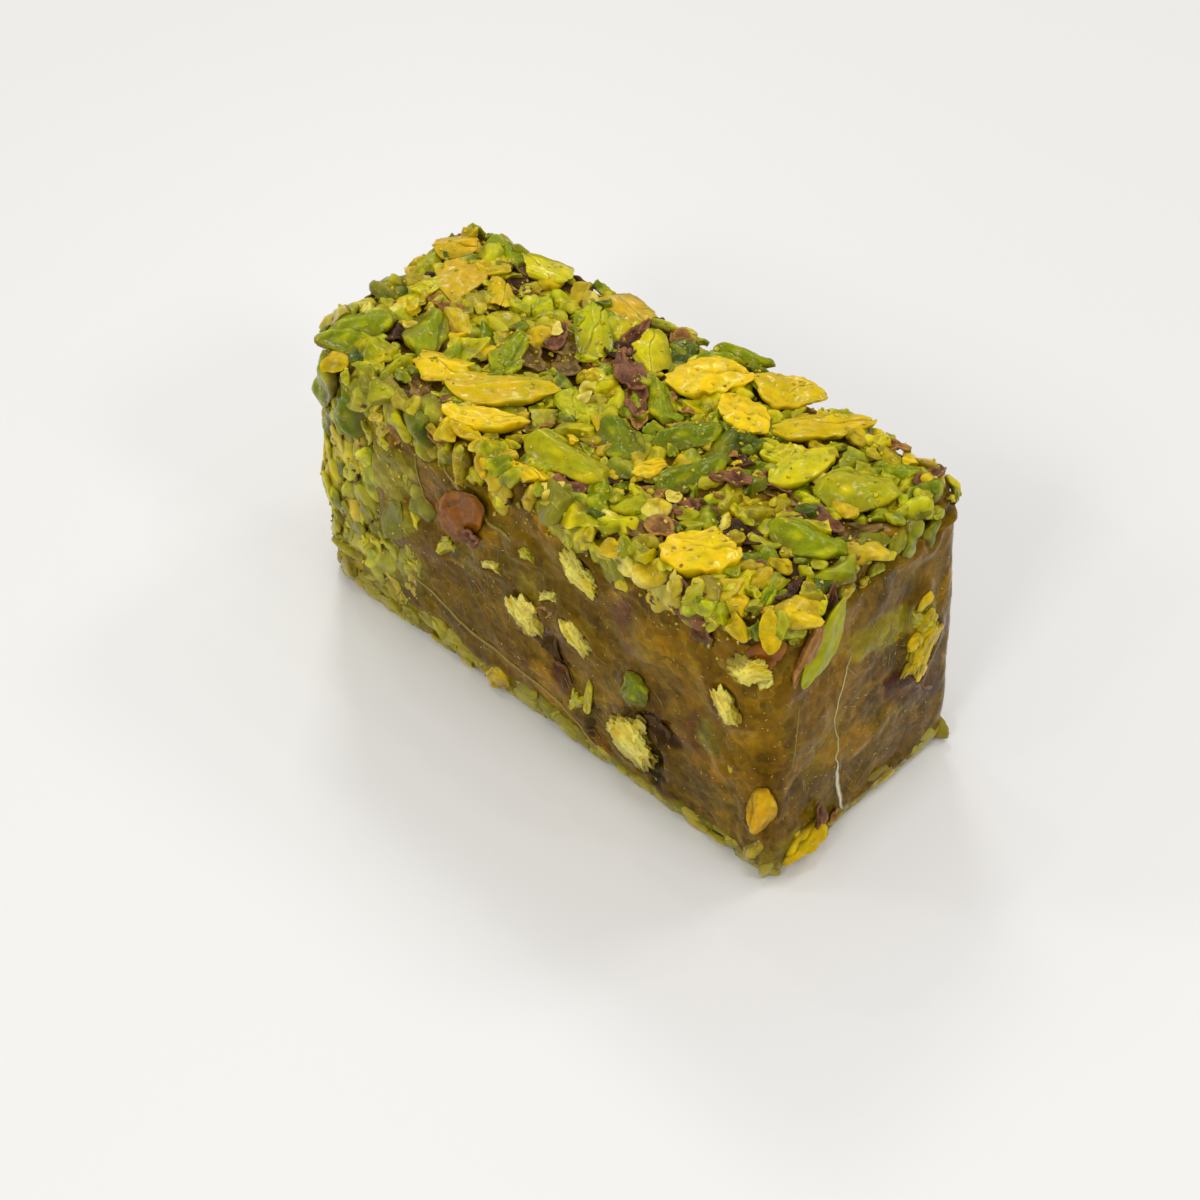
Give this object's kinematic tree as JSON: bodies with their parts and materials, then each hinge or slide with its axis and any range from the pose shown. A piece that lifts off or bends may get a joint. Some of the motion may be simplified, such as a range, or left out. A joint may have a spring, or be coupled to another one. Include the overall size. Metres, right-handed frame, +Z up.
{
  "type": "turkish delight",
  "caption": "Cut oblong block of pistachio turkish delight: translucent amber jelly with chopped pistachios over its top, one end and its underside.",
  "frame": {"origin": "middle of the flat underside, where the block rests on a surface", "axes": "+X along the block to its cut end, +Y across it to the far long side, +Z up"},
  "size_m": [0.089, 0.0416, 0.0447],
  "materials": {
    "jelly": "glossy translucent olive-brown jelly",
    "nut_coat": "chopped green pistachio in a thin glossy syrup",
    "kernel_half": "satin yellow split kernel",
    "kernel_whole": "satin green kernel",
    "kernel_broken": "dry pale broken kernel"
  },
  "bodies": {
    "root": {"jelly_body": "jelly", "nut_coat": "nut_coat", "half_kernel_01": "kernel_half", "half_kernel_02": "kernel_half", "half_kernel_03": "kernel_half", "half_kernel_04": "kernel_half", "half_kernel_05": "kernel_half", "half_kernel_06": "kernel_half", "half_kernel_07": "kernel_half", "half_kernel_08": "kernel_half", "half_kernel_09": "kernel_half", "half_kernel_10": "kernel_half", "half_kernel_11": "kernel_half", "half_kernel_12": "kernel_half", "whole_kernel_01": "kernel_whole", "whole_kernel_02": "kernel_whole", "whole_kernel_03": "kernel_whole", "whole_kernel_04": "kernel_whole", "whole_kernel_05": "kernel_whole", "whole_kernel_06": "kernel_whole", "whole_kernel_07": "kernel_whole", "whole_kernel_08": "kernel_whole", "whole_kernel_09": "kernel_whole", "whole_kernel_10": "kernel_whole", "whole_kernel_11": "kernel_whole", "whole_kernel_12": "kernel_whole", "whole_kernel_13": "kernel_whole", "whole_kernel_14": "kernel_whole", "whole_kernel_15": "kernel_whole", "broken_kernel_01": "kernel_broken", "broken_kernel_02": "kernel_broken", "broken_kernel_03": "kernel_broken", "broken_kernel_04": "kernel_broken", "broken_kernel_05": "kernel_broken", "broken_kernel_06": "kernel_broken", "broken_kernel_07": "kernel_broken", "broken_kernel_08": "kernel_broken", "broken_kernel_09": "kernel_broken", "broken_kernel_10": "kernel_broken", "broken_kernel_11": "kernel_broken", "broken_kernel_12": "kernel_broken", "broken_kernel_13": "kernel_broken", "broken_kernel_14": "kernel_broken", "broken_kernel_15": "kernel_broken"}
  },
  "joints": []
}
